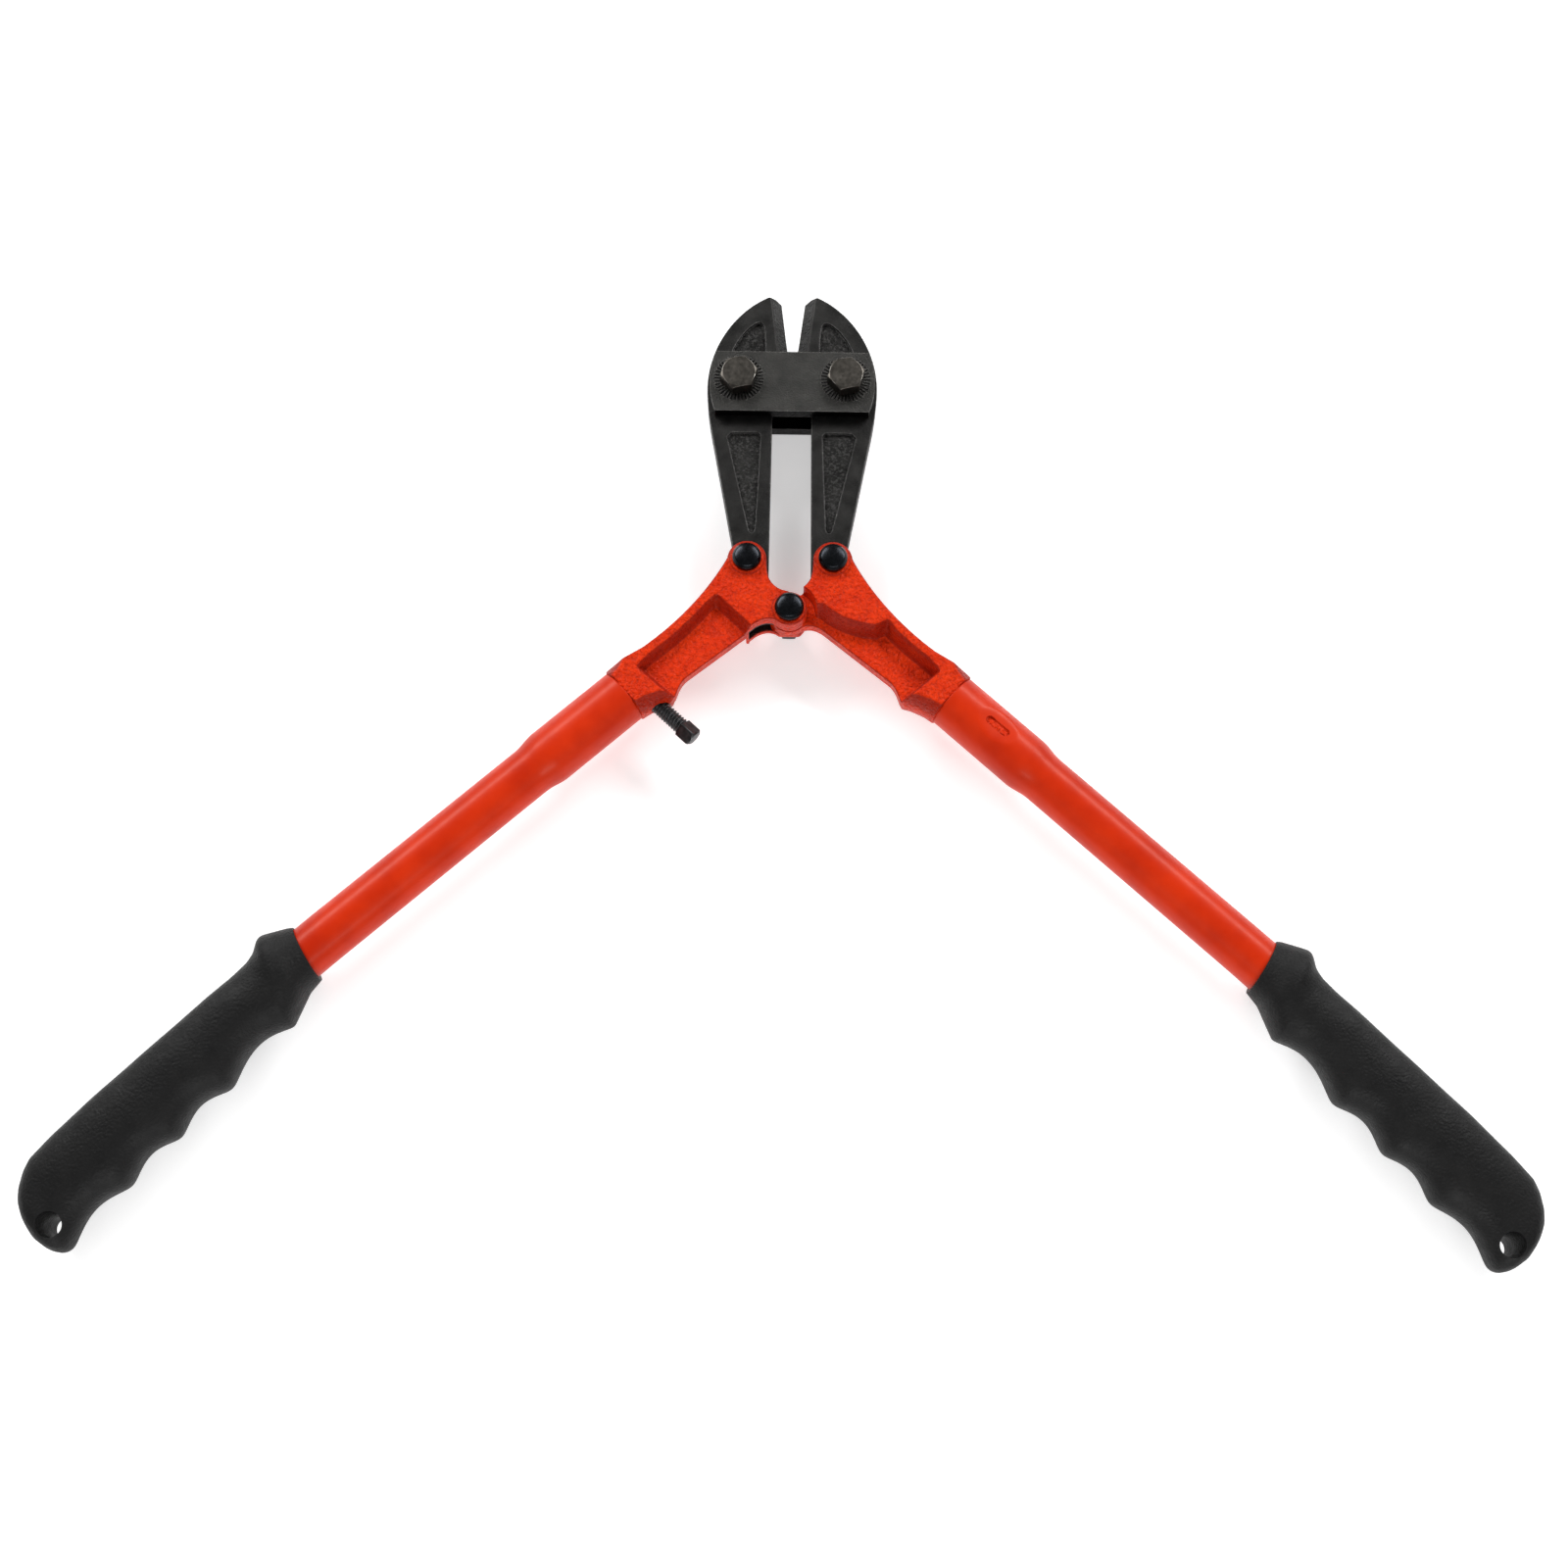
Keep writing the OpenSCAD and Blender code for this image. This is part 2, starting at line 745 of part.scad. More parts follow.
module grip() {
    mouth_l = 15;
    mouth_flare = pin_gap + mouth_l * tan(bend_angle);
    on_grip()
        difference() {
            grip_skin();
            rod(tube_r + pin_gap, 0, tube_end_u + 0.5);
            translate([-mouth_l, 0, 0])
                rotate([0, 90, 0])
                    cylinder(r1 = tube_r + mouth_flare, r2 = tube_r + pin_gap, h = mouth_l);
            translate(hang_hole_at) cylinder(r = hang_hole_r, h = 60, center = true);
        }
}

module left_grip() {
    color("#232323") in_place() grip();
}

module right_grip() {
    color("#232323") in_place() right_half() grip();
}

front_link_plate();
rear_link_plate();
left_fulcrum_bolt();
right_fulcrum_bolt();
left_fulcrum_nut();
right_fulcrum_nut();
left_jaw();
right_jaw();
left_yoke();
right_yoke();
left_toggle_pin();
right_toggle_pin();
centre_pivot_pin();
left_toggle_washer();
right_toggle_washer();
centre_pivot_washer();
left_toggle_nut();
right_toggle_nut();
centre_pivot_nut();
stop_screw();
left_tube();
right_tube();
left_grip();
right_grip();
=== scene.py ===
import math

import bmesh
import bpy
from mathutils import Matrix, Vector


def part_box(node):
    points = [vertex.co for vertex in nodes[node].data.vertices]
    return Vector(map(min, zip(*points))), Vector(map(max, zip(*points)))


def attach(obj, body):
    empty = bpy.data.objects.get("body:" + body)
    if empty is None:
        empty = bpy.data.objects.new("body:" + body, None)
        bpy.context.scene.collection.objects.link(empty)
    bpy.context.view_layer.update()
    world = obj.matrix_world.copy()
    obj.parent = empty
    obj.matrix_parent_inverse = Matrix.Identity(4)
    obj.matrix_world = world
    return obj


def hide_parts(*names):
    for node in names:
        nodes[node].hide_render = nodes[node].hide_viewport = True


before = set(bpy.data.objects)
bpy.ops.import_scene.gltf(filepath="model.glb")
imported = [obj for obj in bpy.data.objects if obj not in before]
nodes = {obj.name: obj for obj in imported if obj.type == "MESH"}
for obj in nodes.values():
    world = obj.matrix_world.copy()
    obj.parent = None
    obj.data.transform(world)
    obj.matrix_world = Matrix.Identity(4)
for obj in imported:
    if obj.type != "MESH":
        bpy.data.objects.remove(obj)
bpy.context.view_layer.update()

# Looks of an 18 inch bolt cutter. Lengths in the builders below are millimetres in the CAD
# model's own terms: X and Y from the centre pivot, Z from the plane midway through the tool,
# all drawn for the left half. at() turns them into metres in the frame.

MM = 0.001
LEFT, RIGHT = 1, -1
FRONT, REAR = 1, -1

pin_low, pin_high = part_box("centre_pivot_pin")
jaw_low, jaw_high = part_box("left_jaw")
PIVOT = Vector((0, (pin_low.y + pin_high.y) / 2, (jaw_low.z + jaw_high.z) / 2))


def at(x, y, z, half=LEFT):
    return PIVOT + MM * Vector((half * x, y, z))


# ---- shapes shared by the pieces ----

def bezier(a, b, c, d, steps):
    points = []
    for i in range(steps + 1):
        t = i / steps
        s = 1 - t
        weights = (s ** 3, 3 * s * s * t, 3 * s * t * t, t ** 3)
        points.append(tuple(
            sum(w * p[k] for w, p in zip(weights, (a, b, c, d))) for k in (0, 1)
        ))
    return points


def beside(path, distance):
    """The path moved sideways by a distance, to its left as it runs."""
    moved = []
    for i, point in enumerate(path):
        before = path[max(i - 1, 0)]
        after = path[min(i + 1, len(path) - 1)]
        run = Vector(after) - Vector(before)
        moved.append(tuple(Vector(point) + distance * Vector((-run.y, run.x)) / run.length))
    return moved


def lookup(x, table):
    """Straight-line value at x in a list of (x, value) rows."""
    if x <= table[0][0]:
        return table[0][1]
    for (x0, v0), (x1, v1) in zip(table, table[1:]):
        if x <= x1:
            return v0 + (v1 - v0) * (x - x0) / (x1 - x0)
    return table[-1][1]


def rounded(function, x, reach):
    """A function's mean over a short reach, which rounds its corners."""
    samples = 9
    offsets = [reach * ((i + 0.5) / samples * 2 - 1) for i in range(samples)]
    weights = [1 - abs(o) / (reach * 1.1) for o in offsets]
    return sum(w * function(x + o) for w, o in zip(weights, offsets)) / sum(weights)


def new_object(name, points, faces):
    mesh = bpy.data.meshes.new(name)
    mesh.from_pydata([tuple(p) for p in points], [], faces)
    tidy = bmesh.new()
    tidy.from_mesh(mesh)
    bmesh.ops.recalc_face_normals(tidy, faces=tidy.faces)
    tidy.to_mesh(mesh)
    tidy.free()
    obj = bpy.data.objects.new(name, mesh)
    bpy.context.scene.collection.objects.link(obj)
    return obj


def ring_skin(name, rings, looped=False):
    """A skin through rings of points; its ends are closed, or joined to each other."""
    sides = len(rings[0])
    faces = []
    for i in range(len(rings) if looped else len(rings) - 1):
        a = i * sides
        b = (i + 1) % len(rings) * sides
        for k in range(sides):
            n = (k + 1) % sides
            faces.append((a + k, a + n, b + n, b + k))
    if not looped:
        faces.append(tuple(range(sides)))
        faces.append(tuple(range((len(rings) - 1) * sides, len(rings) * sides)))
    return new_object(name, [p for ring in rings for p in ring], faces)


def baked(obj):
    """Turns the object's modifiers into plain mesh."""
    graph = bpy.context.evaluated_depsgraph_get()
    mesh = bpy.data.meshes.new_from_object(obj.evaluated_get(graph))
    obj.modifiers.clear()
    obj.data = mesh
    return obj


def cut(obj, *cutters):
    for cutter in cutters:
        knife = obj.modifiers.new("cut", "BOOLEAN")
        knife.operation = "DIFFERENCE"
        knife.solver = "EXACT"
        knife.object = cutter
    baked(obj)
    for cutter in cutters:
        bpy.data.objects.remove(cutter)
    return obj


def shade_smooth(obj, corner_angle=math.pi):
    obj.data.shade_smooth()
    if corner_angle < math.pi:
        obj.data.set_sharp_from_angle(angle=corner_angle)
    return obj


def finished(obj, body, node, slot):
    """The piece takes a CAD node's place on its body, in its finish."""
    obj.data.materials.clear()
    obj.data.materials.append(MATERIALS[slot])
    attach(obj, body)
    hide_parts(node)


# ---- materials ----

class Finish:
    """A Principled material whose nodes are added one at a time."""

    def __init__(self, name, **constants):
        self.material = bpy.data.materials.new(name)
        self.material.use_nodes = True
        self.tree = self.material.node_tree
        self.surface = self.tree.nodes["Principled BSDF"]
        for socket, value in constants.items():
            self.put(self.surface.inputs[socket.replace("_", " ")], value)
        self.place = self.add("ShaderNodeTexCoord").outputs["Object"]

    def put(self, socket, value):
        if isinstance(value, bpy.types.NodeSocket):
            self.tree.links.new(value, socket)
        else:
            socket.default_value = value

    def add(self, kind, inputs=None, **settings):
        node = self.tree.nodes.new(kind)
        for name, value in settings.items():
            setattr(node, name, value)
        for socket, value in (inputs or {}).items():
            self.put(node.inputs[socket], value)
        return node

    def maths(self, operation, a, b=0.0):
        return self.add("ShaderNodeMath", {0: a, 1: b}, operation=operation).outputs[0]

    def noise(self, grain, detail=3.0, roughness=0.5, distortion=0.0, stretch=None):
        """Noise whose features are about grain millimetres wide, drawn out by the stretch."""
        place = self.place
        if stretch:
            shrink = [1 / s for s in stretch]
            place = self.add("ShaderNodeMapping", {"Vector": place, "Scale": shrink}).outputs[0]
        inputs = {
            "Vector": place, "Scale": 1 / (grain * MM), "Detail": detail,
            "Roughness": roughness, "Distortion": distortion,
        }
        return self.add("ShaderNodeTexNoise", inputs).outputs["Fac"]

    def between(self, value, low, high, to_low=0.0, to_high=1.0):
        inputs = {
            "Value": value, "From Min": low, "From Max": high,
            "To Min": to_low, "To Max": to_high,
        }
        return self.add("ShaderNodeMapRange", inputs, clamp=True).outputs[0]

    def mixed(self, share, a, b):
        """Colour a where the share is 0, and b where it is 1."""
        # A mix node's colour sockets come after its number and vector ones
        node = self.add("ShaderNodeMix", {0: share, 6: a, 7: b}, data_type="RGBA")
        return node.outputs[2]

    def edges(self, reach, low=0.02, high=0.25):
        """1 on sharp edges and 0 away from them, broken up by noise."""
        soft = self.add("ShaderNodeBevel", {"Radius": reach * MM}, samples=6).outputs[0]
        true = self.add("ShaderNodeNewGeometry").outputs["Normal"]
        turn = self.add("ShaderNodeVectorMath", {0: soft, 1: true}, operation="DOT_PRODUCT")
        bent = self.maths("SUBTRACT", 1.0, turn.outputs["Value"])
        ragged = self.between(self.noise(1.3, 4.0), 0.35, 0.65, 0.35, 1.0)
        return self.maths("MULTIPLY", self.between(bent, low, high), ragged)

    def facing_up(self, low, high):
        """How far the surface faces straight forward or back, from 0 to 1."""
        normal = self.add("ShaderNodeNewGeometry").outputs["Normal"]
        z = self.add("ShaderNodeSeparateXYZ", {0: normal}).outputs["Z"]
        return self.between(self.maths("ABSOLUTE", z), low, high)

    def off_middle(self, low, high):
        """0 nearer the tool's middle plane than low, 1 beyond high, in millimetres."""
        z = self.add("ShaderNodeSeparateXYZ", {0: self.place}).outputs["Z"]
        away = self.maths("ABSOLUTE", self.maths("SUBTRACT", z, PIVOT.z))
        return self.between(away, low * MM, high * MM)

    def off_point(self, x, y, low, high):
        """0 nearer than low to a point of the tool seen from the front, 1 beyond high."""
        flat = self.add(
            "ShaderNodeVectorMath", {0: self.place, 1: (1, 1, 0)}, operation="MULTIPLY",
        )
        point = at(x, y, 0)
        point.z = 0
        span = self.add(
            "ShaderNodeVectorMath", {0: flat.outputs[0], 1: point}, operation="DISTANCE",
        )
        return self.between(span.outputs["Value"], low * MM, high * MM)

    def bump(self, height, depth, under=None):
        inputs = {"Height": height, "Distance": depth * MM, "Strength": 1.0}
        if under:
            inputs["Normal"] = under
        return self.add("ShaderNodeBump", inputs).outputs[0]

    def colour(self, value):
        self.put(self.surface.inputs["Base Color"], value)

    def roughness(self, value):
        self.put(self.surface.inputs["Roughness"], value)

    def normal(self, value):
        self.put(self.surface.inputs["Normal"], value)


def rgb(r, g, b):
    return (r, g, b, 1.0)


def jaw_steel():
    """Black oxide over forged steel, ground in fine lines on the bevels, rough in the pockets,
    with glints painted in there as lighter specks.
    """
    finish = Finish("jaw_steel", Metallic=1.0)
    mottle = finish.between(finish.noise(7, 5.0), 0.3, 0.7)
    base = finish.mixed(mottle, rgb(0.015, 0.0148, 0.0145), rgb(0.03, 0.0295, 0.0285))
    worn = finish.edges(0.7)
    flat = finish.facing_up(0.9, 0.99)
    grain = finish.noise(0.16, 3.0, stretch=(1, 45, 1))
    ground = finish.maths("MULTIPLY", finish.maths("SUBTRACT", 1.0, flat), grain)
    base = finish.mixed(finish.maths("MULTIPLY", ground, 0.5), base, rgb(0.07, 0.069, 0.067))
    cast = finish.maths("SUBTRACT", 1.0, finish.off_middle(3.9, 4.4))
    # Painted glints: lighter specks in the pockets stand in for highlights on the rough forged
    # surface.
    painted_glint_specks = finish.maths("MULTIPLY", cast, finish.between(finish.noise(0.8, 2.0), 0.5, 0.62))
    base = finish.mixed(painted_glint_specks, base, rgb(0.05, 0.0495, 0.048))
    finish.colour(finish.mixed(worn, base, rgb(0.24, 0.235, 0.23)))
    finish.roughness(finish.between(finish.noise(2.2, 4.0), 0.3, 0.7, 0.4, 0.56))
    lines = finish.bump(ground, 0.02)
    pits = finish.maths("MULTIPLY", cast, finish.noise(0.9, 4.0))
    skin = finish.bump(finish.noise(0.5, 3.0), 0.2, lines)
    finish.normal(finish.bump(pits, 0.9, skin))
    return finish.material


def plate_steel():
    """Black oxide over sandblasted plate, with painted shade near black in its locking grooves
    and on its side walls.
    """
    finish = Finish("plate_steel", Metallic=1.0)
    mottle = finish.between(finish.noise(9, 5.0), 0.3, 0.7)
    base = finish.mixed(mottle, rgb(0.034, 0.0335, 0.032), rgb(0.054, 0.053, 0.05))
    # Painted shade: everything below the plate's outer face, that is the locking grooves and the
    # side walls, is painted near black.
    face = finish.off_middle(9.16, 9.32)
    base = finish.mixed(face, rgb(0.003, 0.003, 0.003), base)
    finish.colour(finish.mixed(finish.edges(0.4), base, rgb(0.27, 0.26, 0.25)))
    finish.roughness(finish.between(finish.noise(1.6, 4.0), 0.3, 0.7, 0.4, 0.54))
    blasted = finish.bump(finish.noise(0.6, 2.0), 0.24)
    finish.normal(finish.bump(finish.noise(1.1, 3.0), 0.06, blasted))
    return finish.material


def bolt_steel():
    """Brownish phosphate on the fulcrum bolts and nuts, worn bright on their corners."""
    finish = Finish("bolt_steel", Metallic=1.0)
    mottle = finish.between(finish.noise(2.5, 5.0), 0.3, 0.7)
    base = finish.mixed(mottle, rgb(0.05, 0.046, 0.04), rgb(0.094, 0.086, 0.076))
    finish.colour(finish.mixed(finish.edges(0.4, 0.03, 0.2), base, rgb(0.42, 0.4, 0.37)))
    finish.roughness(finish.between(finish.noise(1.1, 4.0), 0.3, 0.7, 0.3, 0.46))
    finish.normal(finish.bump(finish.noise(0.5, 3.0), 0.025))
    return finish.material


def pin_steel():
    """Polished steel blued almost black on the linkage pins and their nuts."""
    finish = Finish("pin_steel", Metallic=1.0)
    mottle = finish.between(finish.noise(3, 4.0), 0.3, 0.7)
    base = finish.mixed(mottle, rgb(0.012, 0.013, 0.015), rgb(0.022, 0.024, 0.028))
    finish.colour(finish.mixed(finish.edges(0.4), base, rgb(0.15, 0.16, 0.17)))
    finish.roughness(finish.between(finish.noise(0.8, 4.0), 0.3, 0.7, 0.2, 0.32))
    finish.normal(finish.bump(finish.noise(1.4, 3.0), 0.012))
    return finish.material


def washer_steel():
    """Zinc on the spring washers."""
    finish = Finish("washer_steel", Metallic=1.0)
    mottle = finish.between(finish.noise(1.2, 4.0), 0.3, 0.7)
    base = finish.mixed(mottle, rgb(0.3, 0.31, 0.32), rgb(0.46, 0.46, 0.45))
    finish.colour(finish.mixed(finish.edges(0.25), base, rgb(0.7, 0.7, 0.7)))
    finish.roughness(finish.between(finish.noise(0.6, 4.0), 0.3, 0.7, 0.26, 0.42))
    finish.normal(finish.bump(finish.noise(0.4, 3.0), 0.012))
    return finish.material


def screw_steel():
    """Black oxide on the stop screw, rubbed on its crests and corners."""
    finish = Finish("screw_steel", Metallic=1.0)
    mottle = finish.between(finish.noise(1.8, 4.0), 0.3, 0.7)
    base = finish.mixed(mottle, rgb(0.035, 0.035, 0.036), rgb(0.075, 0.075, 0.077))
    finish.colour(finish.mixed(finish.edges(0.3), base, rgb(0.36, 0.36, 0.37)))
    finish.roughness(finish.between(finish.noise(0.9, 4.0), 0.3, 0.7, 0.28, 0.42))
    finish.normal(finish.bump(finish.noise(0.4, 3.0), 0.02))
    return finish.material


PAINT_LIGHT = rgb(0.72, 0.034, 0.002)
PAINT_DEEP = rgb(0.58, 0.02, 0.001)
# Dark red for the cast grain showing through in pits, also used as painted shade on sloped walls.
PAINT_PITS_AND_WALL_SHADE = rgb(0.2, 0.006, 0.003)


def painted_fork_slot_shade(finish):
    """1 on the walls of the left yoke's slot for the right yoke's tongue, where black is painted
    in as shade.
    """
    slot_end, slot_edge = (-5, -4), (9.9, 10.2)
    pivot, tongue_edge = (0, 0), (6.8, 7.0)
    slot_half_height = (3.75, 3.95)
    outside_slot = finish.off_point(*slot_end, *slot_edge)
    off_tongue = finish.off_point(*pivot, *tongue_edge)
    off_slot_floor = finish.off_middle(*slot_half_height)
    inside = finish.maths("SUBTRACT", 1.0, finish.maths("MAXIMUM", outside_slot, off_slot_floor))
    return finish.maths("MULTIPLY", inside, off_tongue)


def yoke_paint():
    """Thick red paint over rough cast iron: wormy grains that show through, painted shade on the
    sloped walls, and black painted shade in the fork slot.
    """
    finish = Finish(
        "yoke_paint", Specular_IOR_Level=0.2, Specular_Tint=rgb(1, 0.5, 0.36),
        Coat_Weight=0.05, Coat_Roughness=0.22,
    )
    blotches = finish.between(finish.noise(6, 4.0), 0.3, 0.7)
    base = finish.mixed(blotches, PAINT_DEEP, PAINT_LIGHT)
    worms = finish.noise(1.35, 2.0, 0.5, 0.5)
    grains = finish.noise(0.5, 2.0)
    level = finish.facing_up(0.8, 0.97)
    leaning = finish.facing_up(0.1, 0.4)
    sloped = finish.maths("MULTIPLY", leaning, finish.maths("SUBTRACT", 1.0, level))
    # Painted shade: sloped surfaces, such as the recess walls, are darkened towards the pit
    # colour.
    base = finish.mixed(finish.maths("MULTIPLY", sloped, 0.7), base, PAINT_PITS_AND_WALL_SHADE)
    pits = finish.between(worms, 0.36, 0.54, 0.36, 0.0)
    base = finish.mixed(pits, base, PAINT_PITS_AND_WALL_SHADE)
    worn = finish.maths("MULTIPLY", finish.edges(0.6, 0.03, 0.4), 0.5)
    base = finish.mixed(worn, base, rgb(0.78, 0.13, 0.07))
    # Painted shade: the walls of the fork slot are painted near black.
    finish.colour(finish.mixed(painted_fork_slot_shade(finish), base, rgb(0.006, 0.005, 0.005)))
    finish.roughness(finish.between(finish.noise(1.1, 4.0), 0.3, 0.7, 0.28, 0.46))
    relief = finish.bump(worms, 1.05)
    finish.normal(finish.bump(grains, 0.2, relief))
    return finish.material


def tube_paint():
    """Smooth glossy red paint on the drawn tubes, with a trace of orange peel."""
    finish = Finish(
        "tube_paint", Specular_IOR_Level=0.3, Specular_Tint=rgb(1, 0.5, 0.36),
        Coat_Weight=0.06, Coat_Roughness=0.2,
    )
    blotches = finish.between(finish.noise(14, 3.0), 0.3, 0.7)
    base = finish.mixed(blotches, rgb(0.47, 0.016, 0.001), rgb(0.6, 0.026, 0.002))
    worn = finish.maths("MULTIPLY", finish.edges(0.3, 0.15, 0.45), 0.6)
    finish.colour(finish.mixed(worn, base, rgb(0.3, 0.1, 0.07)))
    finish.roughness(finish.between(finish.noise(3, 4.0), 0.3, 0.7, 0.36, 0.46))
    peel = finish.bump(finish.noise(2.4, 2.0), 0.03)
    finish.normal(finish.bump(finish.noise(0.5, 3.0), 0.012, peel))
    return finish.material


def grip_rubber():
    """Matte black rubber with a fine grain and a little dust in the hollows."""
    finish = Finish("grip_rubber", Specular_IOR_Level=0.22)
    dust = finish.between(finish.noise(11, 5.0, 0.6), 0.42, 0.75)
    base = finish.mixed(dust, rgb(0.0035, 0.0035, 0.0036), rgb(0.0065, 0.0064, 0.0062))
    rubbed = finish.maths("MULTIPLY", finish.edges(1.2, 0.02, 0.3), 0.4)
    finish.colour(finish.mixed(rubbed, base, rgb(0.03, 0.03, 0.031)))
    finish.roughness(finish.between(finish.noise(4, 4.0), 0.3, 0.7, 0.46, 0.6))
    grain = finish.bump(finish.noise(0.9, 3.0), 0.3)
    finish.normal(finish.bump(finish.noise(5, 3.0), 0.05, grain))
    return finish.material


MATERIALS = {
    make.__name__: make()
    for make in (
        jaw_steel, plate_steel, bolt_steel, pin_steel, washer_steel, screw_steel,
        yoke_paint, tube_paint, grip_rubber,
    )
}


# ---- CAD nodes that stay: their edges are eased and their finish is replaced ----

def ease_edges(obj, width, corner_angle):
    """Bevels the corners sharper than an angle; creases too blunt for that stay crisp."""
    weld = obj.modifiers.new("weld", "WELD")
    weld.merge_threshold = 0.002 * MM
    whole = obj.modifiers.new("whole_faces", "DECIMATE")
    whole.decimate_type = "DISSOLVE"
    whole.angle_limit = math.radians(0.3)
    bevel = obj.modifiers.new("ease", "BEVEL")
    bevel.width = width * MM
    bevel.segments = 2
    bevel.limit_method = "ANGLE"
    bevel.angle_limit = math.radians(corner_angle)
    bevel.use_clamp_overlap = True
    crisp = obj.modifiers.new("crisp", "EDGE_SPLIT")
    crisp.split_angle = math.radians(38)
    flat = obj.modifiers.new("flat", "WEIGHTED_NORMAL")
    flat.keep_sharp = True
    obj.data.shade_smooth()


def dress_cad_nodes():
    """Each row: finish, bevel width in millimetres, corner angle in degrees, nodes."""
    rows = [
        ("jaw_steel", 0.45, 22, ["left_jaw", "right_jaw"]),
        ("plate_steel", 0.3, 60, ["front_link_plate", "rear_link_plate"]),
        ("bolt_steel", 0.2, 22, [
            "left_fulcrum_bolt", "right_fulcrum_bolt", "left_fulcrum_nut", "right_fulcrum_nut",
        ]),
        ("pin_steel", 0.15, 22, [
            "left_toggle_pin", "right_toggle_pin", "centre_pivot_pin",
            "left_toggle_nut", "right_toggle_nut", "centre_pivot_nut",
        ]),
        ("washer_steel", 0.12, 22, [
            "left_toggle_washer", "right_toggle_washer", "centre_pivot_washer",
        ]),
    ]
    for slot, width, corner_angle, names in rows:
        for name in names:
            obj = nodes[name]
            for place in obj.material_slots:
                place.material = MATERIALS[slot]
            ease_edges(obj, width, corner_angle)


# ---- yokes ----

TUBE_JOINT = (-58.5, -31.1)
HANDLE_TURN = math.radians(222)
PAD_Z = 8.7
LEFT_WEB_Z = (-1.2, 4.2)
RIGHT_WEB_Z = (-3.4, 2)
PIN_BORE_R = 3.55
YOKE_BACK = bezier((-21.9, 20.9), (-28.2, 8.2), (-38.2, -4.6), (-52, -15.4), 20)
RIM_W = 6.2
LEFT_FRONT_PAD = [(-15, -9.3), (-26.2, 1.4)]
# Further out than in CAD, so that its leaning wall stays clear of the slot for the tongue
LEFT_REAR_PAD = [(-17.6, -11.6), (-17.6, -6), (-26, 1.6)]
RIGHT_PAD = (
    [(0, -14), (0, -4), (-9.9, -1)]
    + bezier((-11, -1), (-17, -6.5), (-25, -8.6), (-31.5, -8.9), 8)
    + [(-34.6, -7.4)]
)


def on_handle(u, v, z, half=LEFT):
    """A point u along the handle and v to its finger side."""
    turn_cos, turn_sin = math.cos(HANDLE_TURN), math.sin(HANDLE_TURN)
    x = TUBE_JOINT[0] + u * turn_cos - v * turn_sin
    y = TUBE_JOINT[1] + u * turn_sin + v * turn_cos
    return at(x, y, z, half)


def recess_outline(pad_edge):
    """Foot of a yoke's recess, with each point's lean out to the top and how soft its wall is."""
    pad_wall, rim_wall, end_wall, none = (3.3, 0.35), (3.2, 0.9), (1.5, 0.3), (0, 0)
    rim = [p for p in beside(YOKE_BACK, RIM_W) if p[0] < pad_edge[-1][0] - 0.6]
    end = [(-51.5, -22.9), (-40.1, -32.9)]
    outside = [(-34, -38.3), (-8, -14)]
    walls = (
        [pad_wall] * len(pad_edge) + [rim_wall] * len(rim)
        + [end_wall] * len(end) + [none] * len(outside)
    )
    return pad_edge + rim + end + outside, walls


def ways_out(outline):
    """For each point of the outline, the direction out of it, long enough to clear a corner."""
    area = sum(
        a[0] * b[1] - b[0] * a[1] for a, b in zip(outline, outline[1:] + outline[:1])
    )
    side = 1 if area > 0 else -1
    ways = []
    for i, point in enumerate(outline):
        before = (Vector(point) - Vector(outline[i - 1])).normalized()
        after = (Vector(outline[(i + 1) % len(outline)]) - Vector(point)).normalized()
        way = side * Vector((before.y + after.y, -before.x - after.x))
        ways.append(way.normalized() / max(way.length / 2, 0.6))
    return ways


def recess_cutter(pad_edge, face, web_z, half):
    """Block with sloped, softly rounded sides, the shape of the drafted recess in a yoke."""
    foot, walls = recess_outline(pad_edge)
    ways = ways_out(foot)
    steps = 10
    height = PAD_Z - abs(web_z)
    rings = []
    for i in range(steps + 2):
        t = min(1, i / steps)
        over = 1 if i > steps else 0
        ring = []
        for point, way, (lean, softness) in zip(foot, ways, walls):
            x, y = Vector(point) + lean * t * way
            rise = (1 - softness) * t + softness * t * t * (3 - 2 * t)
            ring.append(at(x, y, face * (abs(web_z) + height * rise + over), half))
        rings.append(ring)
    return ring_skin("cutter", rings)


def collar_cutter(half):
    """Ring that turns the yoke's end round where it meets the tube."""
    sides = 96
    profile = [(-17, 16.5), (-9, 12.6), (-4, 11.1), (2, 10.4), (2, 22), (-17, 22)]
    rings = []
    for u, r in profile:
        ring = []
        for k in range(sides):
            a = 2 * math.pi * k / sides
            ring.append(on_handle(u, r * math.cos(a), r * math.sin(a), half))
        rings.append(ring)
    return ring_skin("cutter", rings, looped=True)


def prism(outline, low, high, half):
    return ring_skin("prism", [[at(x, y, z, half) for x, y in outline] for z in (low, high)])


def arc(centre, r, start, turn, steps):
    """Points round a centre from the start angle through the turn, both ends included."""
    angles = [start + turn * k / steps for k in range(steps + 1)]
    return [(centre[0] + r * math.cos(a), centre[1] + r * math.sin(a)) for a in angles]


def tongue_plug(half):
    """Fills the CAD tongue's running slot, so that only a round hole is seen at rest.

    The pin needs that slot part way through the travel, and there it enters this plug.
    """
    slot_r = 4.3
    short_of_faces = 0.1
    stray = (-2.75, 1.05)
    lean = math.atan2(stray[1], stray[0]) - math.pi / 2
    outline = (
        arc(stray, slot_r, lean, math.pi, 24)
        + arc((0, 0), slot_r, lean + math.pi, math.pi, 24)
    )
    low, high = RIGHT_WEB_Z
    return prism(outline, low + short_of_faces, high - short_of_faces, half)


def merged(obj, other):
    """Adds the other object's mesh to this one and removes the other."""
    both = bmesh.new()
    both.from_mesh(obj.data)
    both.from_mesh(other.data)
    both.to_mesh(obj.data)
    both.free()
    bpy.data.objects.remove(other)


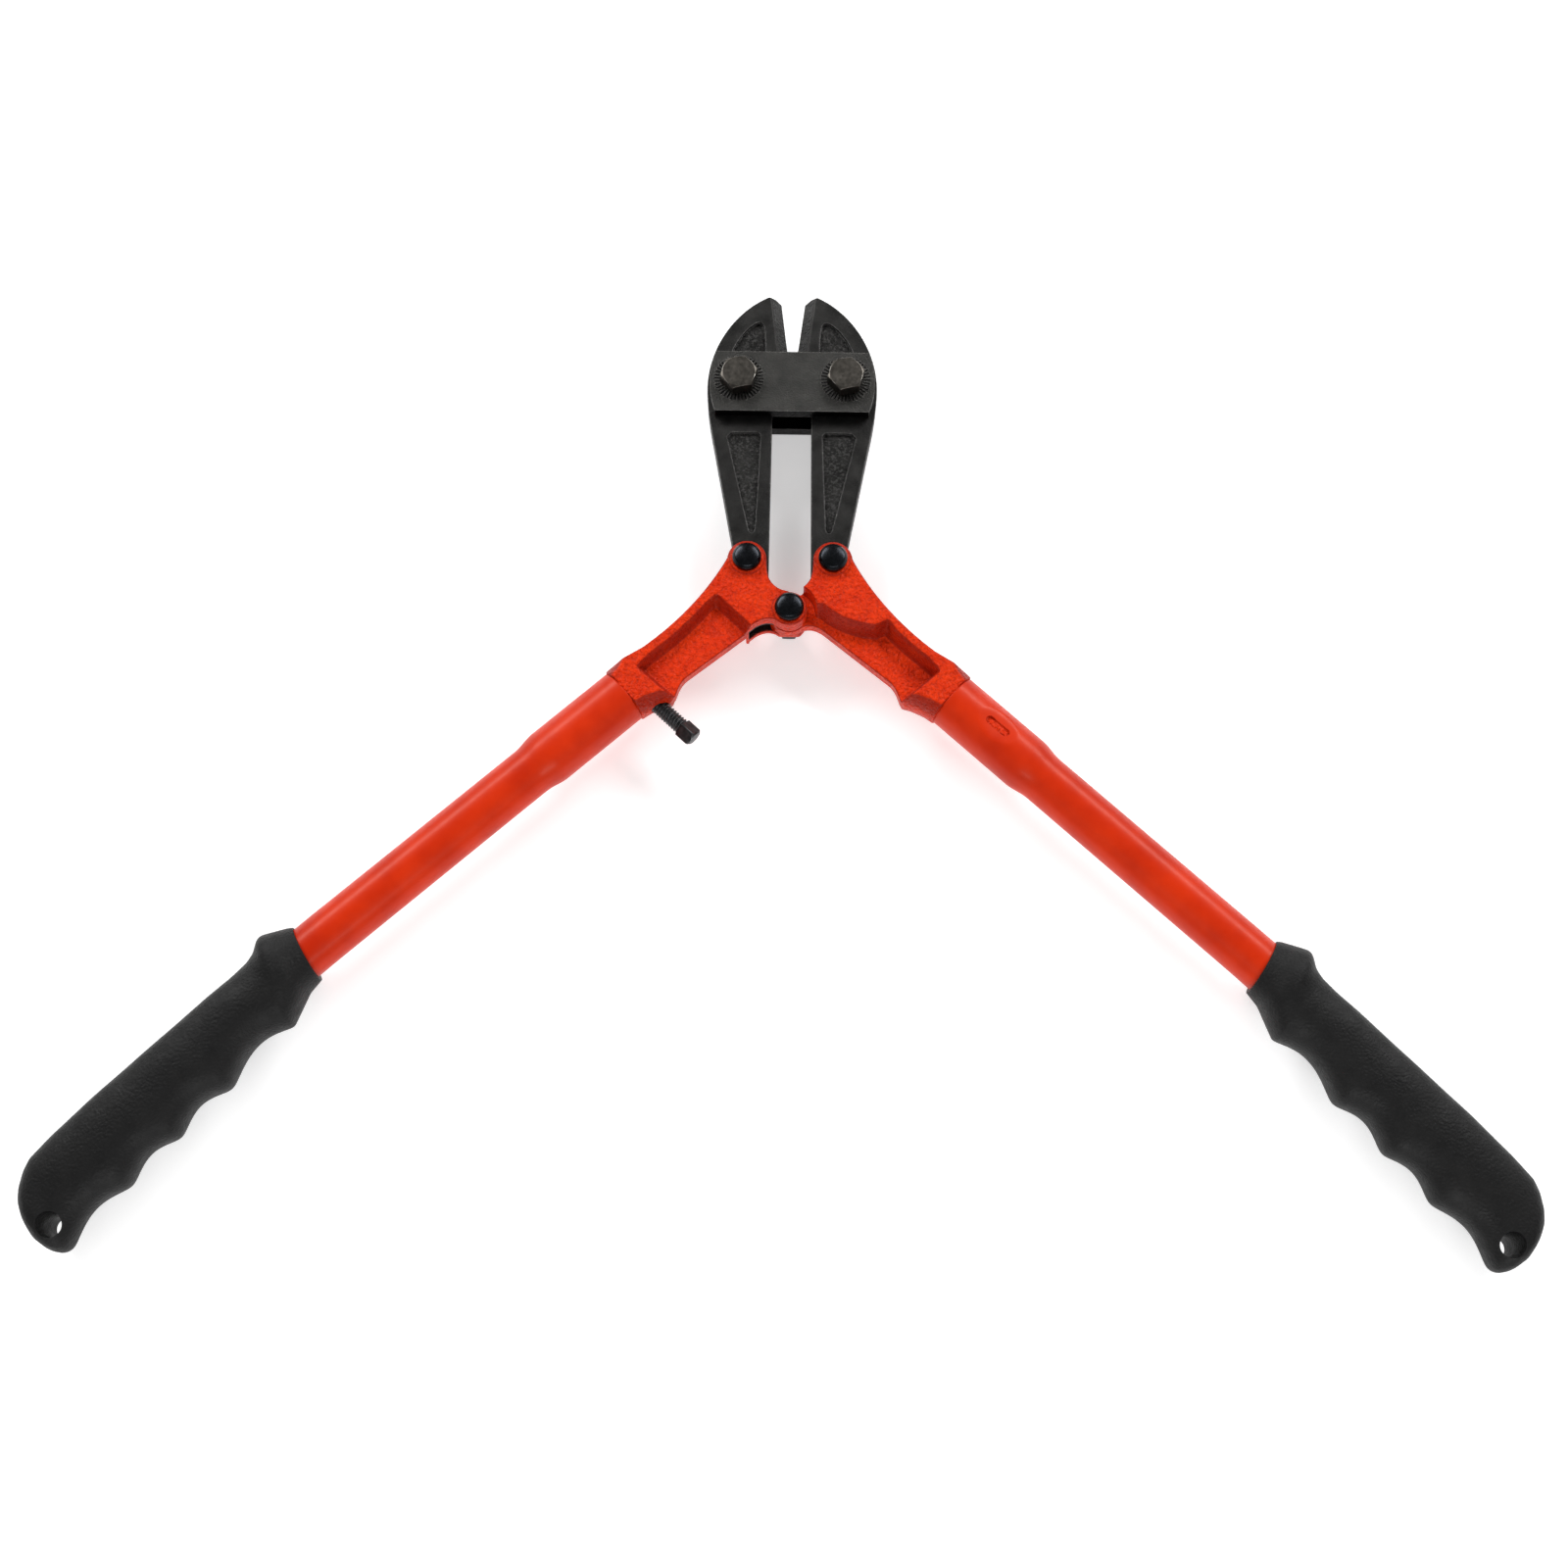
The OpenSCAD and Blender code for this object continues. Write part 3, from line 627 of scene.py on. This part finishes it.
def cast_yoke(name, half, recesses, plug=None):
    """The CAD yoke with drafted recess walls and the soft corners of a casting."""
    voxel = 0.36
    through = 20
    obj = bpy.data.objects.new(name + "_cast", nodes[name].data.copy())
    bpy.context.scene.collection.objects.link(obj)
    cutters = [recess_cutter(edge, face, web_z, half) for edge, face, web_z in recesses]
    for cutter in cutters + [collar_cutter(half)]:
        weld = obj.modifiers.new("weld", "WELD")
        weld.merge_threshold = 0.01 * MM
        cut(obj, cutter)
    if plug:
        merged(obj, plug)
    remesh = obj.modifiers.new("remesh", "REMESH")
    remesh.mode = "VOXEL"
    remesh.voxel_size = voxel * MM
    soften = obj.modifiers.new("soften", "SMOOTH")
    soften.factor = 0.5
    soften.iterations = 7
    baked(obj)
    if plug:
        hole = arc((0, 0), PIN_BORE_R, 0.0, 2 * math.pi, 64)[:-1]
        cut(obj, prism(hole, -through, through, half))
    return shade_smooth(obj, math.radians(60))


def make_yokes():
    left = cast_yoke("left_yoke", LEFT, [
        (LEFT_FRONT_PAD, FRONT, LEFT_WEB_Z[1]),
        (LEFT_REAR_PAD, REAR, LEFT_WEB_Z[0]),
    ])
    finished(left, "left_handle", "left_yoke", "yoke_paint")
    right = cast_yoke("right_yoke", RIGHT, [
        (RIGHT_PAD, FRONT, RIGHT_WEB_Z[1]),
        (RIGHT_PAD, REAR, RIGHT_WEB_Z[0]),
    ], tongue_plug(RIGHT))
    finished(right, "right_handle", "right_yoke", "yoke_paint")


# ---- handle tubes ----

BEND_U = 141.5
BEND_ANGLE = math.radians(2.5)
TUBE_END_U = 92
TUBE_R = 8.9
SWAGE_R = 10.05
TUBE_WALL = 1.6
SWAGE_LENGTH = 34
SWAGE_CONE = 9
CRIMP_AT = (19.5, -1)


def on_grip(u, v, z, half=LEFT):
    """A point in the handle's part past the bend, u along it from there."""
    bend_cos, bend_sin = math.cos(BEND_ANGLE), math.sin(BEND_ANGLE)
    return on_handle(BEND_U + u * bend_cos - v * bend_sin, u * bend_sin + v * bend_cos, z, half)


def tube_axis(u):
    """Place and direction of the tube's middle line at u, with the bend spread out."""
    reach = 10
    steps = 40
    if u <= BEND_U - reach:
        return (u, 0.0), 0.0
    x, y, turn = BEND_U - reach, 0.0, 0.0
    step = (u - x) / steps
    for i in range(steps):
        here = BEND_U - reach + (i + 0.5) * step
        turn = BEND_ANGLE * min(1, (here - BEND_U + reach) / (2 * reach))
        x += step * math.cos(turn)
        y += step * math.sin(turn)
    return (x, y), turn


def tube_radius(u):
    """Outer radius: a widened end, a smooth cone, then the plain tube."""
    t = min(1, max(0, (u - SWAGE_LENGTH) / SWAGE_CONE))
    eased = t * t * (3 - 2 * t)
    return SWAGE_R + (TUBE_R - SWAGE_R) * eased


def tube_ring(u, r, half, dent_face=0):
    """Points round the tube at u; a crimp's dent is pressed into the face named."""
    sides = 144
    dent_half_u, dent_half_v, dent_depth = 8.4, 5.6, 1.3
    (x, y), turn = tube_axis(u)
    ring = []
    for k in range(sides):
        a = 2 * math.pi * k / sides
        v, z = r * math.cos(a), r * math.sin(a)
        if dent_face * z > 0:
            along = (u - CRIMP_AT[0]) / dent_half_u
            across = (v - CRIMP_AT[1]) / dent_half_v
            off = along ** 2 + across ** 2
            z -= dent_face * dent_depth * max(0, 1 - off) ** 1.5
        ring.append(on_handle(x - v * math.sin(turn), y + v * math.cos(turn), z, half))
    return ring


def crimp_cutter(face, half):
    """The punched slot in the middle of a crimp's dent."""
    slot_half, slot_r, corner_steps = 3.5, 1.5, 12
    outline = []
    for end in (1, -1):
        for i in range(corner_steps + 1):
            a = math.pi * (i / corner_steps - 0.5)
            u = CRIMP_AT[0] + end * (slot_half + slot_r * math.cos(a))
            outline.append((u, CRIMP_AT[1] + end * slot_r * math.sin(a)))
    rings = [
        [on_handle(u, v, face * z, half) for u, v in outline]
        for z in (SWAGE_R - TUBE_WALL - 0.6, SWAGE_R + 1)
    ]
    return ring_skin("cutter", rings)


def make_tube(name, body, half, crimp_face):
    ease = 0.35
    last = BEND_U + TUBE_END_U
    fine = [i * 0.55 for i in range(1, 78)]
    coarse = [45 + i * 2 for i in range(0, 93)]
    outer = (
        [(0.0, SWAGE_R - ease), (ease / 2, SWAGE_R - 0.1), (ease, SWAGE_R)]
        + [(u, tube_radius(u)) for u in fine]
        + [(u, TUBE_R) for u in coarse]
        + [(last, TUBE_R - ease)]
    )
    inner_stations = [0.0, SWAGE_LENGTH, SWAGE_LENGTH + SWAGE_CONE, BEND_U, last]
    inner = [(u, tube_radius(u) - TUBE_WALL) for u in reversed(inner_stations)]
    rings = [tube_ring(u, r, half, crimp_face) for u, r in outer]
    rings += [tube_ring(u, r, half) for u, r in inner]
    obj = ring_skin(name + "_drawn", rings, looped=True)
    cut(obj, crimp_cutter(crimp_face, half))
    shade_smooth(obj, math.radians(35))
    finished(obj, body, name, "tube_paint")


# ---- grips ----

# Distance along the grip, then how far its back lies from the tube's axis
GRIP_BACK = [
    (0, 9.3), (1, 10.1), (9.6, 14.5), (11, 14.6), (12.4, 13.6), (14.6, 11.7), (18, 10.7),
    (24, 10.4), (57, 10.5), (82, 10.5), (100, 9.9), (110, 9), (114, 7.2), (118, 4.2), (121, 0.9),
    (123.2, -4), (124.4, -10),
]
# Distance along the grip, then half its thickness
GRIP_HALF = [
    (0, 9.9), (4, 11), (9, 12.6), (12, 12.8), (16, 11.6), (22, 11), (90, 10.8), (105, 10),
    (112, 9.5), (119, 9.4), (122, 8.4), (123.6, 6.6), (124.4, 4.4),
]
GRIP_END_FRONT = [(119, 23.4), (121.5, 22.4), (123.4, 19.6), (124.4, 15)]
FINGER_TOPS = [(17.5, 16.4), (48, 18.4), (70.4, 19.4), (92, 20.6), (119, 23.4)]
FINGER_DEPTHS = [4.5, 3.6, 3.4, 3.8]
GRIP_LAST = 124.4
HANG_HOLE_AT = (117.5, 14.4)
HANG_HOLE_R = 4.1
MOUTH_SLANT = math.radians(14)


def finger_side(u):
    """Distance of the grip's finger side from the tube's axis."""
    if u < FINGER_TOPS[0][0]:
        return lookup(u, [(0, 10.4), (6, 11.2), FINGER_TOPS[0]])
    if u >= FINGER_TOPS[-1][0]:
        return lookup(u, GRIP_END_FRONT)
    for (u0, top0), (u1, top1), depth in zip(FINGER_TOPS, FINGER_TOPS[1:], FINGER_DEPTHS):
        if u <= u1:
            s = (u - u0) / (u1 - u0)
            return top0 * (1 - s) + top1 * s - depth * math.sin(math.pi * s) ** 1.25
    return lookup(u, GRIP_END_FRONT)


def soft(function, u, reach):
    """The value at u with corners rounded, but held true near the grip's two ends."""
    to_end = min(u, GRIP_LAST - u) * 0.5 + 0.02
    return rounded(function, u, min(reach, to_end))


def signed_power(value, power):
    return math.copysign(abs(value) ** power, value)


def grip_slant(u):
    """Lean of the grip's rings, which follow its slanted mouth and straighten out from there."""
    straight_from = 30
    return math.tan(MOUTH_SLANT) * max(0, 1 - u / straight_from)


def grip_ring(u, sides, half):
    back = soft(lambda w: lookup(w, GRIP_BACK), u, 1.0)
    front = soft(finger_side, u, 1.1 if u < 25 else 2.6)
    half_t = soft(lambda w: lookup(w, GRIP_HALF), u, 1.3)
    centre = (front - back) / 2
    half_w = (front + back) / 2
    squareness = 0.9 if u < 25 else 0.9 - 0.1 * min(1, (u - 25) / 8)
    ring = []
    for k in range(sides):
        a = 2 * math.pi * (k + 0.5) / sides
        v = centre + half_w * signed_power(math.cos(a), squareness)
        z = half_t * signed_power(math.sin(a), squareness)
        ring.append(on_grip(u + grip_slant(u) * v, v, z, half))
    return ring


def bore_ring(u, r, sides, half, slanted=False):
    slant = grip_slant(0) if slanted else 0
    ring = []
    for k in range(sides):
        a = 2 * math.pi * (k + 0.5) / sides
        v, z = r * math.cos(a), r * math.sin(a)
        ring.append(on_grip(u + slant * v, v, z, half))
    return ring


def hang_hole_cutter(half):
    """Core pin of the hang hole: drafted towards the rear, and flared to ease both its edges."""
    sides = 72
    rear_r = 3.2
    flare = [(8.4, 0), (9.1, 0.2), (9.6, 0.5), (14, 0.9)]
    profile = [(-z, rear_r + wider) for z, wider in reversed(flare)]
    profile += [(z, HANG_HOLE_R + wider) for z, wider in flare]
    rings = []
    for z, r in profile:
        rings.append([
            on_grip(
                HANG_HOLE_AT[0] + r * math.cos(2 * math.pi * k / sides),
                HANG_HOLE_AT[1] + r * math.sin(2 * math.pi * k / sides), z, half,
            )
            for k in range(sides)
        ])
    return ring_skin("cutter", rings)


def make_grip(name, body, half):
    sides = 112
    stations = [i * 0.8 for i in range(0, 144)]
    stations += [115 + i * 0.45 for i in range(0, 20)]
    stations += [123.8, 124.0, 124.15, 124.3, GRIP_LAST]
    rings = [
        bore_ring(60, TUBE_R + 0.05, sides, half),
        bore_ring(9, TUBE_R + 0.05, sides, half),
        bore_ring(0, TUBE_R + 0.1, sides, half, slanted=True),
    ]
    rings += [grip_ring(u, sides, half) for u in stations]
    obj = ring_skin(name + "_moulded", rings)
    cut(obj, hang_hole_cutter(half))
    shade_smooth(obj, math.radians(50))
    finished(obj, body, name, "grip_rubber")


# ---- stop screw ----

STOP_ANGLE = math.radians(-42.6)
STOP_FACE_X = 7.5
STOP_DROP = 56.6
STOP_OUT = 14.8
STOP_HEAD_L = 6.4
STOP_HEAD_W = 5.3
STOP_IN = 11
STOP_R = 3
STOP_PITCH = 1.2


def on_stop(u, v, z):
    """A point u out along the stop screw from the left yoke's stop face."""
    turn_cos, turn_sin = math.cos(STOP_ANGLE), math.sin(STOP_ANGLE)
    x = -STOP_FACE_X * turn_cos + STOP_DROP * turn_sin + u * turn_cos - v * turn_sin
    y = -STOP_FACE_X * turn_sin - STOP_DROP * turn_cos + u * turn_sin + v * turn_cos
    return at(x, y, z)


def thread_radius(u, angle):
    """Height of a screw thread's flank at u along and an angle round the rod."""
    ridge_h = 0.55
    phase = (u / STOP_PITCH - angle / (2 * math.pi)) % 1
    flank = 1 - abs(2 * phase - 1)
    return STOP_R - ridge_h + ridge_h * min(1, max(0, flank * 1.5 - 0.2))


def make_stop_screw():
    sides, step = 72, 0.1
    point_share, point_slope = 0.72, 0.35
    thread_end = STOP_OUT - STOP_HEAD_L
    count = round((STOP_IN + thread_end) / step)
    rings = []
    for i in range(count + 1):
        u = -STOP_IN + i * step
        start = min(1, point_share + (u + STOP_IN) * point_slope)
        ring = []
        for k in range(sides):
            a = 2 * math.pi * k / sides
            r = thread_radius(u, a) * start
            ring.append(on_stop(u, r * math.cos(a), r * math.sin(a)))
        rings.append(ring)
    rod = ring_skin("stop_screw_rod", rings)
    shade_smooth(rod, math.radians(60))
    finished(rod, "stop_screw", "stop_screw", "screw_steel")
    head = square_head(thread_end, STOP_OUT)
    finished(head, "stop_screw", "stop_screw", "screw_steel")


def square_head(low, high):
    """Square head turned corner up, its end turned off to a round with a chamfer."""
    sides = 96
    half_w = STOP_HEAD_W / 2
    corner_r = half_w * 1.36
    not_turned = 9
    profile = [
        (low, half_w * 0.93), (low + 0.25, not_turned), (high - 1, not_turned),
        (high - 0.55, half_w * 1.26), (high, half_w),
    ]
    rings = []
    for u, turned_r in profile:
        ring = []
        for k in range(sides):
            a = 2 * math.pi * k / sides
            flat = half_w / max(abs(math.cos(a)), abs(math.sin(a)))
            r = min(flat, corner_r, turned_r)
            spin = a + math.pi / 4
            ring.append(on_stop(u, r * math.cos(spin), r * math.sin(spin)))
        rings.append(ring)
    obj = ring_skin("stop_screw_head", rings)
    ease = obj.modifiers.new("ease", "BEVEL")
    ease.width = 0.12 * MM
    ease.segments = 2
    ease.limit_method = "ANGLE"
    ease.angle_limit = math.radians(25)
    baked(obj)
    return shade_smooth(obj, math.radians(30))


# ---- floor, light and camera ----

def make_floor():
    """A pale floor that glows a little, so that it stays light between the jaws' legs."""
    size = 6
    floor = new_object(
        "floor",
        [(-size, -size, 0), (size, -size, 0), (size, size, 0), (-size, size, 0)],
        [(0, 1, 2, 3)],
    )
    finish = Finish(
        "pale_floor", Roughness=0.9, Emission_Color=rgb(1, 1, 1), Emission_Strength=0.4,
    )
    shade = finish.between(finish.noise(60, 3.0), 0.3, 0.7)
    finish.colour(finish.mixed(shade, rgb(0.86, 0.86, 0.86), rgb(0.9, 0.9, 0.9)))
    floor.data.materials.append(finish.material)


def add_area_light(name, place, aim, size, power):
    lamp = bpy.data.lights.new(name, "AREA")
    lamp.shape = "RECTANGLE"
    lamp.size, lamp.size_y = size
    lamp.energy = power
    obj = bpy.data.objects.new(name, lamp)
    bpy.context.scene.collection.objects.link(obj)
    obj.location = place
    obj.rotation_euler = (Vector(aim) - Vector(place)).to_track_quat("-Z", "Y").to_euler()


def make_lights():
    """Each row: name, place, size and power in watts; all aim at the middle of the floor."""
    rows = [
        ("upper_left", (-0.75, 0.85, 0.85), (0.9, 0.35), 13),
        ("upper_right", (0.75, 0.85, 0.85), (0.9, 0.35), 13),
        ("front", (0.1, -1.15, 0.8), (1.2, 0.4), 10),
    ]
    for name, place, size, power in rows:
        add_area_light(name, place, (0, 0, 0), size, power)
    world = bpy.data.worlds.new("studio")
    world.use_nodes = True
    background = world.node_tree.nodes["Background"]
    background.inputs["Color"].default_value = rgb(1, 1, 1)
    background.inputs["Strength"].default_value = 0.26
    bpy.context.scene.world = world
    bpy.context.scene.view_settings.view_transform = "Standard"


def make_camera():
    tilt = math.radians(17)
    roll = math.radians(0.8)
    aim = Vector((-0.001, -0.014, PIVOT.z))
    distance = 0.673
    lens = bpy.data.cameras.new("camera")
    lens.sensor_width = 36
    lens.lens = 43.9
    camera = bpy.data.objects.new("camera", lens)
    bpy.context.scene.collection.objects.link(camera)
    eye = aim + distance * Vector((0, -math.sin(tilt), math.cos(tilt)))
    turn = Matrix.Rotation(tilt, 4, "X") @ Matrix.Rotation(roll, 4, "Z")
    camera.matrix_world = Matrix.Translation(eye) @ turn
    bpy.context.scene.camera = camera


make_camera()
dress_cad_nodes()
make_yokes()
make_tube("left_tube", "left_handle", LEFT, REAR)
make_tube("right_tube", "right_handle", RIGHT, FRONT)
make_grip("left_grip", "left_handle", LEFT)
make_grip("right_grip", "right_handle", RIGHT)
make_stop_screw()
make_floor()
make_lights()
